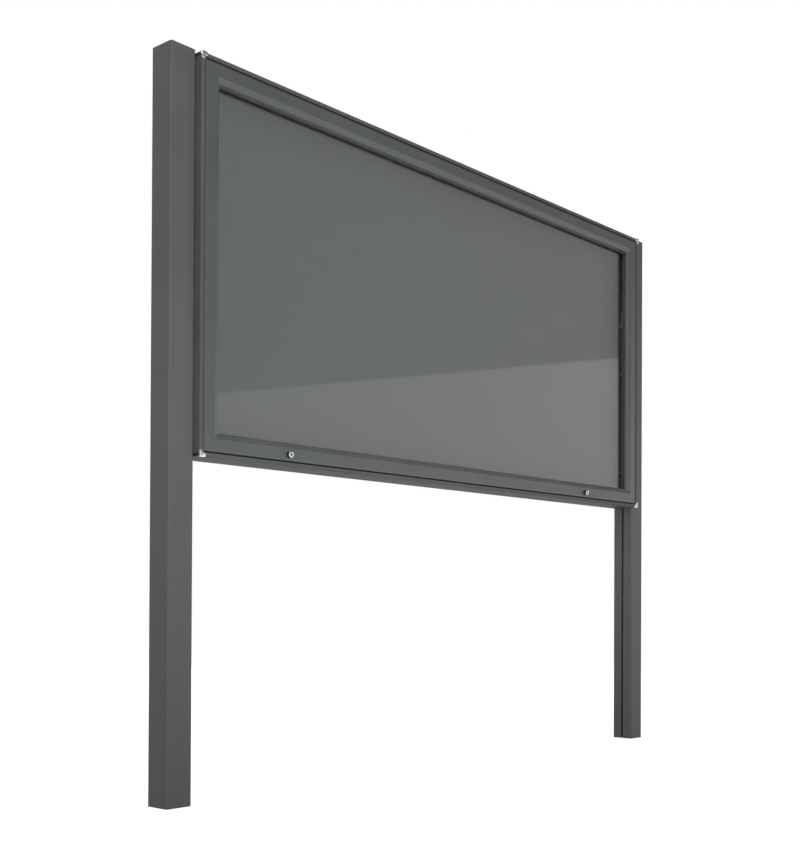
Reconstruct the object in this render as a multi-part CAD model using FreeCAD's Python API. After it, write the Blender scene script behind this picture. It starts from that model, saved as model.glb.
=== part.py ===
import FreeCAD, Part
import math
import os
from FreeCAD import Vector

# A lockable outdoor notice board: a glazed, top-hung door in a shallow case between two posts.
# Millimetres. X runs along the board, the front faces -Y, Z is up from the foot of the posts.
# The origin is at the bottom centre of the whole object's box.
# "Inward" is measured from the case's outer faces, "depth" from the case's front edge backwards.

# Case, as four hollow walls
case_width = 2180.0
case_height = 1050.0
case_depth = 105.0
wall_thickness = 11.0            # also the width of the rim that the photo shows round the door
wall_skin = 2.0
rim_radius = 3.5                 # outer edge of the rim
rim_inner_radius = 1.0
joint_packing = 1.0              # dark joint between each upright wall and the rails over and under it
stop_reach = 13.0                # how far the stops stand in from the walls
stop_thickness = 2.5
back_setback = 1.5               # from the rearmost stops to the case's back edge

# Posts
post_side = 80.0
post_wall = 3.0
post_radius = 5.0
post_above_case = 8.5            # post top over the case, cap included
case_above_foot = 905.0          # underside of the case over the foot of the posts
post_cap_thickness = 2.5
post_cap_skirt = 14.0
cap_clearance = 0.3
slot_mouth = 9.0                 # lengthwise groove in each post's inner face
slot_width = 18.0
slot_depth = 7.0
slot_wall = 2.5

# Door frame
door_gap = 3.0                   # between the rim and the door, all round
door_depth = 34.0
door_skin = 2.2
door_flat = 36.0                 # flat face of the frame
bevel_width = 16.0
bevel_drop = 7.0
nose_radius = 4.0                # where the bevel turns into the reveal
reveal_depth = 18.0              # from the back of the bevel to the glazing
glass_thickness = 4.0
glass_cover = 11.0               # how far the frame covers the glass
gasket_thickness = 1.5
gasket_lip = 1.2                 # how far the gasket shows inside the reveal
bead_width = 13.0
seal_air = 1.2                   # the door's upper back edge swings back 0.9 as it opens
seal_width = 5.5
seal_inset = 4.0                 # from the wall's inner face

# Full-length hinge: a bead on the case in a socket along the door's top
hinge_inset = 7.0                # axis behind the door's front and under its top, and the door's edge radius
bead_radius = 4.5
hinge_clearance = 0.08
neck_thickness = 2.2
hook_depth = 21.0                # front of the hook's upright, behind the case front
hook_thickness = 2.5
hinge_foot = 12.0                # width of the flange that is screwed up into the case
hinge_end = 60.0                 # hinge rail stops this far from each end of the door
socket_open_back = -20.0         # mouth of the socket, in degrees up from straight back
socket_open_up = 101.0
door_swing = 75.0

# Locks
lock_projection = 12.0
lock_radius = 9.0
lock_bevel = 1.2
lock_barrel_radius = 7.0
lock_plug_radius = 5.0
lock_tail_radius = 4.5
lock_running = 0.05
lock_nut_thickness = 3.0
lock_nut_flats = 17.0
lock_from_left = 315.0
lock_from_right = 370.0
cam_thickness = 3.0
cam_half_width = 4.5
cam_flat = 3.2                   # the tail's two flats from its axis
cam_hub_radius = 6.0
cam_reach = 18.5
striker_thickness = 1.0
striker_length = 44.0
cam_air = 0.7
keyway_width = 1.4
keyway_height = 6.0
keyway_depth = 4.0

# Gas struts, one near each end
strut_inset = 46.0               # strut's centre line from the case's outer face
strut_case_back = 42.0           # pivot on the case, behind and under the hinge axis
strut_case_down = 28.0
strut_door_back = 38.0           # pivot on the door, behind and under the hinge axis
strut_door_down = 320.0
strut_tube_radius = 7.5
strut_tube_wall = 1.4
strut_tube_bevel = 1.5
strut_tube_length = 225.0
strut_rod_radius = 3.0
strut_eye_radius = 7.5
strut_eye_width = 10.0
strut_stud_radius = 4.0
strut_case_plate = 44.0          # heights of the plates that carry the studs
strut_door_plate = 52.0
strut_running = 0.05
strut_neck = 14.0
open_pivot_air = 0.4             # the stud on the door stops this far short of the rod's end

# Panels
board_thickness = 6.0
back_panel_thickness = 3.0
stiffener_depth = 13.5
stiffener_width = 40.0
stiffener_wall = 2.0
stiffener_count = 3
panel_air = 1.0

# Bright corner pieces on the rim
corner_leg = 18.0
corner_width = 10.0
corner_seat = 6.0
corner_proud_front = 3.0
corner_proud_side = 1.0
corner_bevel = 1.5
corner_head_height = 1.2

# Fixings
bolt_radius = 4.0
bolt_hole_radius = 4.3
bolt_head_flats = 13.0
bolt_head_height = 5.3
bolts_per_side = 3
bolt_end_distance = 140.0
bar_width = 20.0                 # solid bars inside the uprights, which the bolts clamp
strip_air = 0.4
strip_thickness = 5.0
strip_overhang = 20.0            # bars and strips run on past the outermost bolts
small_screw_radius = 2.1
small_screw_hole = 2.2
small_head_radius = 3.9
small_head_height = 2.2
plug_length = 14.0
key_length = 60.0
key_air = 0.3
hinge_screw_count = 7
hinge_screw_length = 8.0
spigot_screw_heights = (210.0, 546.0)
spigot_screw_radius = 4.0
spigot_screw_length = 9.0

# Places worked out from the sizes
half_width = case_width / 2
case_bottom = case_above_foot
case_top = case_bottom + case_height
total_height = case_top + post_above_case
case_forward = case_depth - post_side            # posts and case are flush at the back
case_front = lock_projection - (lock_projection + case_depth) / 2
post_front = case_front + case_forward
post_centre_y = post_front + post_side / 2
door_inset = wall_thickness + door_gap
door_profile = door_flat + bevel_width
glass_front = bevel_drop + reveal_depth + gasket_thickness
glass_back = glass_front + glass_thickness
glass_edge = door_profile - glass_cover
stop_front = door_depth + 4.0
stop_back = stop_front + stop_thickness
panel_back = case_depth - back_setback - stop_thickness
panel_front = panel_back - back_panel_thickness
board_back = panel_front - stiffener_depth
board_front = board_back - board_thickness
board_stop_front = board_front - stop_thickness
axis_y = case_front + hinge_inset
axis_z = case_top - door_inset - hinge_inset
cam_front = stop_back + striker_thickness + cam_air
lock_z = case_bottom + door_inset + door_flat / 2
lock_left_x = -half_width + lock_from_left
lock_right_x = half_width - lock_from_right
X, Y, Z = Vector(1, 0, 0), Vector(0, 1, 0), Vector(0, 0, 1)

nodes = {}


def spot(side, along, inward, depth):
    """A point given from one side of the case."""
    places = {
        "top": (along, case_front + depth, case_top - inward),
        "bottom": (along, case_front + depth, case_bottom + inward),
        "left": (-half_width + inward, case_front + depth, along),
        "right": (half_width - inward, case_front + depth, along),
    }
    return Vector(*places[side])


def rounded_edges(corners, place):
    """Lines and arcs through flat corners (a, b, radius), set in space by place(a, b)."""
    arcs = []
    for i, (a, b, radius) in enumerate(corners):
        here = Vector(a, b, 0)
        if radius == 0:
            arcs.append((here, here, here, False))
            continue
        to_before = (Vector(*corners[i - 1][:2], 0) - here).normalize()
        to_after = (Vector(*corners[(i + 1) % len(corners)][:2], 0) - here).normalize()
        half = to_before.getAngle(to_after) / 2
        reach = radius / math.tan(half)
        middle = here + (to_before + to_after).normalize() * (radius / math.sin(half) - radius)
        arcs.append((here + to_before * reach, middle, here + to_after * reach, True))
    edges = []
    for i, (start, middle, end, curved) in enumerate(arcs):
        if curved:
            edges.append(Part.Arc(*[place(p.x, p.y) for p in (start, middle, end)]).toShape())
        following = arcs[(i + 1) % len(arcs)][0]
        if (following - end).Length > 1e-6:
            edges.append(Part.makeLine(place(end.x, end.y), place(following.x, following.y)))
    return edges


def prism(corners, place, sweep):
    """A solid from flat corners, extruded along a vector."""
    return Part.Face(Part.Wire(rounded_edges(corners, place))).extrude(sweep)


def bar(side, corners, start, end):
    """A profile of (inward, depth, radius) corners, run along one side of the case."""
    sweep = spot(side, end, 0, 0) - spot(side, start, 0, 0)
    return prism(corners, lambda inward, depth: spot(side, start, inward, depth), sweep)


def strip(side, inward, depth, start, end):
    """A plain rectangular bar between two inward distances and two depths."""
    return bar(side, [(inward[0], depth[0], 0), (inward[1], depth[0], 0),
                      (inward[1], depth[1], 0), (inward[0], depth[1], 0)], start, end)


def box(x, y, z):
    """A box between pairs of coordinates."""
    return Part.makeBox(x[1] - x[0], y[1] - y[0], z[1] - z[0], Vector(x[0], y[0], z[0]))


def rod(radius, start, end):
    """A cylinder from one point to another."""
    return Part.makeCylinder(radius, (end - start).Length, start, end - start)


def union(shapes):
    """One solid out of several that touch."""
    return shapes[0].fuse(shapes[1:]).removeSplitter() if len(shapes) > 1 else shapes[0]


def mirrored(shape):
    """The same piece on the other side of the board."""
    return shape.mirror(Vector(0, 0, 0), X)


def faceted(centre, flats, sweep, sides=6):
    """A bar with flat sides and a given width across them, extruded from its centre along an axis."""
    other = Y if abs(sweep.x) > 0 else X
    across = sweep.cross(other).normalize()
    reach = flats / 2 / math.cos(math.pi / sides)
    corners = []
    for k in range(sides + 1):
        angle = 2 * k * math.pi / sides
        corners.append(centre + other * (reach * math.cos(angle)) + across * (reach * math.sin(angle)))
    return Part.Face(Part.makePolygon(corners)).extrude(sweep)


def shank(radius, start, end):
    """A screw's shank, or the hole for one, along an axis. Eight sides are enough for hidden fixings."""
    return faceted(start, 2 * radius, end - start, 8)


def near_round(radius, start, end):
    """A round piece or hole inside the board, or on its fittings, with sixteen sides."""
    return faceted(start, 2 * radius, end - start, 16)


def keep(name, *shapes):
    """Keep one sub-part, as one solid or as a group of separate ones."""
    nodes[name] = shapes[0] if len(shapes) == 1 else Part.makeCompound(list(shapes))


def four_strips(near, far, depths):
    """Strips along all four sides between two inward distances, the upright ones between the others."""
    pieces = []
    for side in ("top", "bottom", "left", "right"):
        start, end = side_span(side, near if side in ("top", "bottom") else far)
        pieces.append(strip(side, (near, far), depths, start, end))
    return pieces


def side_span(side, inset):
    """Where a bar along one side starts and ends, when both ends stop short by the inset."""
    if side in ("top", "bottom"):
        return -half_width + inset, half_width - inset
    return case_bottom + inset, case_top - inset


def mitre_mask(side, reach):
    """The part of the door's frame that belongs to one side, with 45 degree ends."""
    start, end = side_span(side, door_inset)
    corners = [(start, door_inset, 0), (end, door_inset, 0),
               (end - reach, door_inset + reach, 0), (start + reach, door_inset + reach, 0)]
    return prism(corners, lambda along, inward: spot(side, along, inward, -1), Y * (door_depth + 2))


# Posts

def post_section():
    """Corners of the right post's outside and inside, x from its inner face and y from its front."""
    mid = post_side / 2
    outside = [(0, 0, post_radius), (post_side, 0, post_radius),
               (post_side, post_side, post_radius), (0, post_side, post_radius)]
    channel_x = post_wall + slot_depth + slot_wall
    channel_half = slot_width / 2 + slot_wall
    inside = [(post_wall, post_wall, 0), (post_side - post_wall, post_wall, 0),
              (post_side - post_wall, post_side - post_wall, 0), (post_wall, post_side - post_wall, 0),
              (post_wall, mid + channel_half, 0), (channel_x, mid + channel_half, 0),
              (channel_x, mid - channel_half, 0), (post_wall, mid - channel_half, 0)]
    return outside, inside


def post_point(z):
    """Sets post corners in space at one height."""
    return lambda x, y: Vector(half_width + x, post_front + y, z)


def groove_point(depth, z, offset=0.0):
    """A point in the right post's groove, by its depth from the post's inner face."""
    return Vector(half_width + depth, post_centre_y + offset, z)


def right_post():
    height = total_height - post_cap_thickness
    outside, inside = post_section()
    post = prism(outside, post_point(0), Z * height).cut(prism(inside, post_point(0), Z * height))
    mouth = box((half_width - 1, half_width + post_wall + 1),
                (post_centre_y - slot_mouth / 2, post_centre_y + slot_mouth / 2), (0, height))
    channel = box((half_width + post_wall, half_width + post_wall + slot_depth),
                  (post_centre_y - slot_width / 2, post_centre_y + slot_width / 2), (0, height))
    post = post.cut(mouth).cut(channel)
    for z in spigot_screw_heights:
        post = post.cut(shank(spigot_screw_radius + 0.05, groove_point(post_wall + 1, z),
                              groove_point(post_wall + slot_depth + slot_wall + 1, z)))
    return post


def right_post_cap():
    """A cover plate with a skirt that fits inside the post."""
    outside, inside = post_section()
    base = total_height - post_cap_thickness
    plate = prism(outside, post_point(base), Z * post_cap_thickness)
    near = post_wall + slot_depth + slot_wall + cap_clearance
    low, high = post_wall + cap_clearance, post_side - post_wall - cap_clearance
    skirt_outside = [(near, low, 0), (high, low, 0), (high, high, 0), (near, high, 0)]
    wall = post_wall
    skirt_inside = [(near + wall, low + wall, 0), (high - wall, low + wall, 0),
                    (high - wall, high - wall, 0), (near + wall, high - wall, 0)]
    bottom = post_point(base - post_cap_skirt)
    skirt = prism(skirt_outside, bottom, Z * post_cap_skirt)
    skirt = skirt.cut(prism(skirt_inside, bottom, Z * post_cap_skirt))
    return union([plate, skirt])


def spigot_screws():
    """Set screws in the floor of the groove, which grip a spigot inside the post."""
    start = post_wall + slot_depth - 1.5
    screws = []
    for z in spigot_screw_heights:
        tip = groove_point(start + spigot_screw_length, z)
        screw = shank(spigot_screw_radius, groove_point(start, z), tip)
        screws.append(screw.cut(faceted(groove_point(start, z), 4.0, X * 4)))
    return screws


# Case

def wall_profile():
    """The closed outline of a case wall, which is the rim at its front."""
    return [(0, 0, rim_radius), (wall_thickness, 0, rim_inner_radius),
            (wall_thickness, case_depth, 0), (0, case_depth, 1)]


def wall_cells():
    """Depths between which a wall is hollow, with a web behind each stop."""
    return [(wall_skin, stop_front), (stop_front + wall_skin, board_stop_front),
            (board_stop_front + wall_skin, case_depth - wall_skin)]


def stops(depths):
    """Flat strips on the inside of the walls, which hold the door, the board or the back panel."""
    return four_strips(wall_thickness, wall_thickness + stop_reach, depths)


def corner_l(x_side, z_side, leg, width, grow, depths):
    """An L that follows the rim round one corner. x_side and z_side are -1 or 1."""
    def block(along_x, along_z):
        x = sorted((x_side * (half_width + grow), x_side * (half_width - along_x)))
        middle, half = (case_top + case_bottom) / 2, case_height / 2
        z = sorted((middle + z_side * (half + grow), middle + z_side * (half - along_z)))
        return box(x, (case_front + depths[0], case_front + depths[1]), z)
    return union([block(leg, width), block(width, leg)])


def corner_spot(x_side, z_side, inward, depth):
    """A point near one corner of the rim."""
    z = (case_top - inward) if z_side > 0 else (case_bottom + inward)
    return Vector(x_side * (half_width - inward), case_front + depth, z)


corners_of_case = [("bottom_left", -1, -1), ("bottom_right", 1, -1), ("top_left", -1, 1), ("top_right", 1, 1)]


def corner_seats():
    """What the bright corner pieces take out of the rim's front."""
    return [corner_l(x, z, corner_leg, corner_width, 2, (-2, corner_seat)) for _, x, z in corners_of_case]


def side_bolt_heights():
    """Heights of the bolts that hold the case to the posts."""
    low, high = case_bottom + bolt_end_distance, case_top - bolt_end_distance
    return [low + (high - low) * i / (bolts_per_side - 1) for i in range(bolts_per_side)]


def key_screw_axes():
    """Where a screw goes through each end of a rail into the upright's corner key, and its way out."""
    low, high = wall_cells()[1]
    axes = []
    for _, x_side, z_side in corners_of_case:
        x = x_side * (half_width - wall_thickness / 2)
        outer = case_top if z_side > 0 else case_bottom
        axes.append((Vector(x, case_front + (low + high) / 2, outer), z_side))
    return axes


def case_wall(side):
    """One hollow wall. The rails run over the ends of the uprights."""
    rail = side in ("top", "bottom")
    end_inset = 0 if rail else wall_thickness + joint_packing
    start, end = side_span(side, end_inset)
    wall = bar(side, wall_profile(), start, end)
    for low, high in wall_cells():
        wall = wall.cut(strip(side, (wall_skin, wall_thickness - wall_skin), (low, high), start, end))
    for seat in corner_seats():
        wall = wall.cut(seat)
    if rail:
        for point, z_side in key_screw_axes():
            outwards = Z * z_side
            through = point - outwards * (wall_thickness + 1)
            wall = wall.cut(shank(small_screw_hole, point + outwards, through))
            seat = point - outwards * small_head_height
            wall = wall.cut(shank(small_head_radius + 0.1, point + outwards, seat))
    else:
        for z in side_bolt_heights():
            wall = wall.cut(shank(bolt_hole_radius, spot(side, z, -1, case_forward + post_side / 2),
                                  spot(side, z, wall_thickness + 1, case_forward + post_side / 2)))
    if side == "top":
        for x in hinge_screw_places():
            wall = wall.cut(shank(small_screw_hole, hinge_screw_point(x, wall_thickness + 1),
                                  hinge_screw_point(x, wall_thickness - wall_skin - 1)))
    return wall


def joint_packings():
    """Thin packings that show as the dark joints at the ends of the uprights."""
    pieces = []
    for side in ("left", "right"):
        for low in (case_bottom + wall_thickness, case_top - wall_thickness - joint_packing):
            piece = strip(side, (0, wall_thickness), (corner_seat, case_depth), low, low + joint_packing)
            for point, z_side in key_screw_axes():
                piece = piece.cut(shank(small_screw_hole, point, point - Z * z_side * key_length))
            pieces.append(piece)
    return pieces


def corner_piece(x_side, z_side):
    """A bright L with bevelled front edges over one corner of the rim, with a hole for its screw."""
    piece = corner_l(x_side, z_side, corner_leg, corner_width, corner_proud_side,
                     (-corner_proud_front, corner_seat))
    front = case_front - corner_proud_front
    rim = [edge for edge in piece.Edges if edge.BoundBox.YMax < front + 0.01]
    piece = piece.makeChamfer(corner_bevel, rim)
    return piece.cut(shank(small_screw_hole, corner_spot(x_side, z_side, corner_width / 2, -2 * corner_seat),
                           corner_spot(x_side, z_side, corner_width / 2, 2 * corner_seat)))


def corner_piece_screws():
    """Screws with flat round heads, through the corner pieces into the rails' end plugs."""
    screws = []
    for _, x_side, z_side in corners_of_case:
        tip = corner_spot(x_side, z_side, corner_width / 2, stop_front / 2)
        seat = corner_spot(x_side, z_side, corner_width / 2, -corner_proud_front)
        head = faceted(seat, 2 * small_head_radius, Y * -corner_head_height, 12)
        screws.append(union([head, shank(small_screw_radius, seat, tip)]))
    return screws


def rail_end_plugs():
    """Plugs that close the front cells at the ends of the rails."""
    low, high = wall_cells()[0]
    plugs = []
    for _, x_side, z_side in corners_of_case:
        side = "top" if z_side > 0 else "bottom"
        start, end = sorted((x_side * half_width, x_side * (half_width - plug_length)))
        plug = strip(side, (wall_skin, wall_thickness - wall_skin), (low, high), start, end)
        plug = plug.cut(corner_l(x_side, z_side, corner_leg, corner_width, 2, (-2, corner_seat)))
        plug = plug.cut(shank(small_screw_radius, corner_spot(x_side, z_side, corner_width / 2, 0),
                              corner_spot(x_side, z_side, corner_width / 2, stop_front / 2 + 1)))
        plugs.append(plug)
    return plugs


def corner_keys():
    """Blocks inside the ends of the uprights that the corner screws bite in."""
    low, high = wall_cells()[1]
    keys = []
    for _, x_side, z_side in corners_of_case:
        side = "left" if x_side < 0 else "right"
        near = corner_spot(x_side, z_side, wall_thickness + joint_packing, 0).z
        start, end = sorted((near, near - z_side * key_length))
        keys.append(strip(side, (wall_skin + key_air, wall_thickness - wall_skin - key_air),
                          (low + key_air, high - key_air), start, end))
    for point, z_side in key_screw_axes():
        hole = shank(small_screw_radius, point, point - Z * z_side * (wall_thickness + key_length / 2))
        keys = [key.cut(hole) for key in keys]
    return keys


def corner_screws():
    """Countersunk-level screws through the rails into the corner keys."""
    screws = []
    for point, z_side in key_screw_axes():
        neck = point - Z * z_side * small_head_height
        tip = point - Z * z_side * (wall_thickness + key_length / 2 - 1)
        screws.append(union([shank(small_head_radius, point, neck), shank(small_screw_radius, neck, tip)]))
    return screws


# Hinge

def socket_point(radius, degrees):
    """A point round the hinge axis as (inward, depth), by its angle up from straight back."""
    angle = math.radians(degrees)
    return (door_inset + hinge_inset - radius * math.sin(angle), hinge_inset + radius * math.cos(angle))


def hinge_span():
    start, end = side_span("top", door_inset + hinge_end)
    return start, end


def hinge_screw_places():
    """Evenly spaced screws along the hinge rail's foot."""
    start, end = hinge_span()
    margin = hinge_end / 2
    step = (end - start - 2 * margin) / (hinge_screw_count - 1)
    return [start + margin + step * i for i in range(hinge_screw_count)]


def hinge_screw_point(x, inward):
    """A point on the axis of one hinge rail screw."""
    return spot("top", x, inward, hook_depth + hook_thickness + hinge_foot / 2)


def hinge_rail():
    """Foot, hook, neck and round bead in one extrusion under the case's top wall."""
    start, end = hinge_span()
    centre = door_inset + hinge_inset
    low, high = centre - neck_thickness / 2, centre + neck_thickness / 2
    back = hook_depth + hook_thickness
    hook = bar("top", [(wall_thickness, hook_depth, 0), (wall_thickness, back + hinge_foot, 0),
                       (wall_thickness + 2, back + hinge_foot, 0), (wall_thickness + 2, back, 1),
                       (high, back, 1), (high, hinge_inset, 0), (low, hinge_inset, 0), (low, hook_depth, 1)],
               start, end)
    bead = rod(bead_radius, spot("top", start, centre, hinge_inset), spot("top", end, centre, hinge_inset))
    rail = union([hook, bead])
    for x in hinge_screw_places():
        rail = rail.cut(shank(small_screw_hole, hinge_screw_point(x, wall_thickness - 1),
                              hinge_screw_point(x, wall_thickness + 3)))
    return rail


def hinge_screws():
    """Screws with hexagon heads, up through the hinge rail's foot."""
    screws = []
    for x in hinge_screw_places():
        seat = hinge_screw_point(x, wall_thickness + 2)
        head = faceted(seat, 2 * small_head_radius, Z * -small_head_height)
        screws.append(union([head, shank(small_screw_radius, seat, seat + Z * hinge_screw_length)]))
    return screws


def hinge_end_plugs():
    """Plugs in the door's socket beyond each end of the bead, which keep the door from sliding."""
    start, end = hinge_span()
    centre = door_inset + hinge_inset
    plugs = []
    for near, way in ((start, -1), (end, 1)):
        a = spot("top", near + way * 0.5, centre, hinge_inset)
        b = spot("top", near + way * 12, centre, hinge_inset)
        plugs.append(near_round(bead_radius - 2 * hinge_clearance, a, b))
    return plugs


# Door

def door_profile_corners():
    """Outline of the door's frame: flat, bevel, reveal, and the rebate that the glass lies in."""
    flat_end, nose_end = door_inset + door_flat, door_inset + door_profile
    nose_back = bevel_drop + reveal_depth
    return [(door_inset, 0, hinge_inset), (flat_end, 0, 1), (nose_end, bevel_drop, nose_radius),
            (nose_end, nose_back, 0), (flat_end, nose_back, 0), (flat_end, door_depth, 0),
            (door_inset, door_depth, 1)]


def door_hollows(first):
    """The two cells inside the frame: the main tube from an inward distance on, and the nose."""
    flat_end, nose_end = door_inset + door_flat, door_inset + door_profile
    nose_back = bevel_drop + reveal_depth
    slope = bevel_drop / bevel_width
    skin = door_skin
    tube = [(first, skin + 1.5, 2), (flat_end - skin, skin, 0), (flat_end - skin, door_depth - skin, 0),
            (first, door_depth - skin, 0)]
    nose = [(flat_end, skin * 1.3, 0), (nose_end - skin, skin * 1.3 + (bevel_width - skin) * slope, 0),
            (nose_end - skin, nose_back - skin, 0), (flat_end, nose_back - skin, 0)]
    return [tube, nose]


def door_bar(side):
    """One mitred side of the door's frame. The top one carries the hinge socket."""
    start, end = side_span(side, door_inset)
    piece = bar(side, door_profile_corners(), start, end)
    first = door_inset + door_skin
    if side == "top":
        first = door_inset + 2 * hinge_inset + door_skin
        tube_top = door_inset + hinge_inset + neck_thickness / 2 + 1.4
        inner = bead_radius + hinge_clearance
        bore = rod(inner, spot(side, start, door_inset + hinge_inset, hinge_inset),
                   spot(side, end, door_inset + hinge_inset, hinge_inset))
        lip = socket_point(inner, socket_open_back)
        up_far = socket_point(hinge_inset + 2, socket_open_up)
        mouth = [(door_inset + hinge_inset, hinge_inset, 0), (up_far[0], up_far[1], 0),
                 (up_far[0], door_depth + 1, 0), (tube_top, door_depth + 1, 0), (tube_top, lip[1] + 2, 0),
                 (lip[0], lip[1], 0)]
        piece = piece.cut(bore).cut(bar(side, mouth, start, end))
    for cell in door_hollows(first):
        piece = piece.cut(bar(side, cell, start, end))
    return piece.common(mitre_mask(side, door_profile + 5))


def lock_holes(piece):
    """Round holes for the lock barrels through the door's bottom rail."""
    for x in (lock_left_x, lock_right_x):
        piece = piece.cut(near_round(lock_barrel_radius + lock_running, Vector(x, case_front - 1, lock_z),
                                     Vector(x, case_front + door_depth + 1, lock_z)))
    return piece


def door_cleats():
    """Corner angles inside the door's frame, one leg in each side of the mitre."""
    leg, thickness = 60.0, 10.0
    low = 2 * hinge_inset + door_skin + 2
    y = (case_front + door_skin + 2.5, case_front + door_depth - door_skin - 0.3)
    cleats = []
    for _, x_side, z_side in corners_of_case:
        def block(along_x, along_z):
            outer = half_width - door_inset - low
            x = sorted((x_side * outer, x_side * (outer - along_x)))
            edge = case_top if z_side > 0 else case_bottom
            z = sorted((edge - z_side * (door_inset + low), edge - z_side * (door_inset + low + along_z)))
            return box(x, y, z)
        cleats.append(union([block(leg, thickness), block(thickness, leg)]))
    return cleats


def glass_pane():
    inset = door_inset + glass_edge
    return box((-half_width + inset, half_width - inset), (case_front + glass_front, case_front + glass_back),
               (case_bottom + inset, case_top - inset))


def glazing_beads():
    """Four strips that hold the glass from behind."""
    first = door_inset + door_flat
    return [strip(side, (first, first + bead_width), (glass_back, door_depth), *side_span(side, door_inset))
            .common(mitre_mask(side, door_profile + 5)) for side in ("top", "bottom", "left", "right")]


# Locks

def lock_housing(x):
    """Round head that stands out of the door, a barrel through the frame and a bore for the plug."""
    def at(depth):
        return Vector(x, case_front + depth, lock_z)
    front = at(-lock_projection)
    head = rod(lock_radius, front, at(0))
    rim = [edge for edge in head.Edges if edge.BoundBox.YMax < front.y + 0.01]
    head = head.makeChamfer(lock_bevel, rim)
    body = union([head, near_round(lock_barrel_radius, at(0), at(door_depth + lock_nut_thickness + 0.6))])
    return body.cut(rod(lock_plug_radius + lock_running, at(-lock_projection - 1), at(cam_front)))


def lock_nut(x):
    start = Vector(x, case_front + door_depth, lock_z)
    nut = faceted(start, lock_nut_flats, Y * lock_nut_thickness)
    return nut.cut(near_round(lock_barrel_radius, start - Y, start + Y * (lock_nut_thickness + 1)))


def lock_plug(x):
    """The turning plug, with its keyway at the front and a thinner tail that carries the cam."""
    def at(depth):
        return Vector(x, case_front + depth, lock_z)
    face = 0.6 - lock_projection
    shoulder = door_depth + lock_nut_thickness
    plug = union([rod(lock_plug_radius, at(face), at(shoulder)),
                  near_round(lock_tail_radius, at(shoulder), at(cam_front + cam_thickness))])
    slot = box((x - keyway_width / 2, x + keyway_width / 2), (at(face - 1).y, at(face + keyway_depth).y),
               (lock_z - keyway_height / 2, lock_z + keyway_height / 2))
    plug = plug.cut(slot)
    for way in (-1, 1):
        plug = plug.cut(box((x - lock_tail_radius, x + lock_tail_radius),
                            (at(cam_front).y, at(cam_front + cam_thickness).y),
                            sorted((lock_z + way * cam_flat, lock_z + way * 6))))
    return plug


def lock_cam(x):
    """A flat finger on the plug's tail. It lies along the rail when the lock is open."""
    y = case_front + cam_front
    corners = [(0, cam_half_width, 0), (cam_reach, cam_half_width, 2), (cam_reach, -cam_half_width, 2),
               (0, -cam_half_width, 0)]
    finger = prism(corners, lambda a, b: Vector(x + a, y, lock_z + b), Y * cam_thickness)
    hub = near_round(cam_hub_radius, Vector(x, y, lock_z), Vector(x, y + cam_thickness, lock_z))
    cam = union([finger, hub])
    hole = near_round(lock_tail_radius, Vector(x, y - 1, lock_z), Vector(x, y + cam_thickness + 1, lock_z))
    for way in (-1, 1):
        z = sorted((lock_z + way * cam_flat, lock_z + way * 6))
        hole = hole.cut(box((x - 6, x + 6), (y - 2, y + cam_thickness + 2), z))
    return cam.cut(hole)


def cam_screw(x):
    """Hexagon-head screw that clamps the cam on the tail."""
    return faceted(Vector(x, case_front + cam_front + cam_thickness, lock_z), 10.0, Y * 3)


def strikers():
    """Hard plates on the back of the door stop, where the cams grip."""
    return [box((x - striker_length / 2, x + striker_length / 2),
                (case_front + stop_back, case_front + stop_back + striker_thickness),
                (case_bottom + wall_thickness, case_bottom + wall_thickness + stop_reach))
            for x in (lock_left_x, lock_right_x)]


# Gas struts, modelled at the left end and mirrored

def swung(back, down, degrees):
    """A point on the door, given from the hinge axis, after the door has swung."""
    angle = math.radians(degrees)
    return (back * math.cos(angle) - down * math.sin(angle), -back * math.sin(angle) - down * math.cos(angle))


strut_x = -half_width + strut_inset
strut_case_pivot = Vector(strut_x, axis_y + strut_case_back, axis_z - strut_case_down)
strut_door_pivot = Vector(strut_x, axis_y + strut_door_back, axis_z - strut_door_down)
strut_line = strut_door_pivot - strut_case_pivot
strut_closed = strut_line.Length
strut_way = Vector(strut_line).normalize()
open_back, open_up = swung(strut_door_back, strut_door_down, door_swing)
strut_open = math.hypot(open_back - strut_case_back, open_up + strut_case_down)
strut_stroke = strut_open - strut_closed
strut_turn = math.degrees(math.atan2(strut_case_back - open_back, -strut_case_down - open_up)
                          - math.atan2(strut_case_back - strut_door_back, strut_door_down - strut_case_down))


def along_strut(distance, sideways=0.0):
    """A point on the strut's line, measured from its pivot on the case."""
    return strut_case_pivot + strut_way * distance + X * sideways


def strut_eye(distance):
    """A flat round end of a strut."""
    half = strut_eye_width / 2
    return near_round(strut_eye_radius, along_strut(distance, -half), along_strut(distance, half))


def strut_case_end():
    """The eye that turns on the stud of the case bracket, with its neck."""
    end = union([strut_eye(0), near_round(strut_rod_radius, along_strut(0), along_strut(strut_neck))])
    half = strut_eye_width
    return end.cut(rod(strut_stud_radius + strut_running, along_strut(0, -half), along_strut(0, half)))


def strut_tube():
    """Pressure tube with closed ends and a bore for the rod."""
    start, end = strut_neck, strut_neck + strut_tube_length
    tube = rod(strut_tube_radius, along_strut(start), along_strut(end))
    tube = tube.makeChamfer(strut_tube_bevel, [edge for edge in tube.Edges if edge.Closed])
    bore = near_round(strut_tube_radius - strut_tube_wall, along_strut(start + 6), along_strut(end - 12))
    tube = tube.cut(bore)
    return tube.cut(rod(strut_rod_radius + strut_running, along_strut(end - 13), along_strut(end + 1)))


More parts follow.
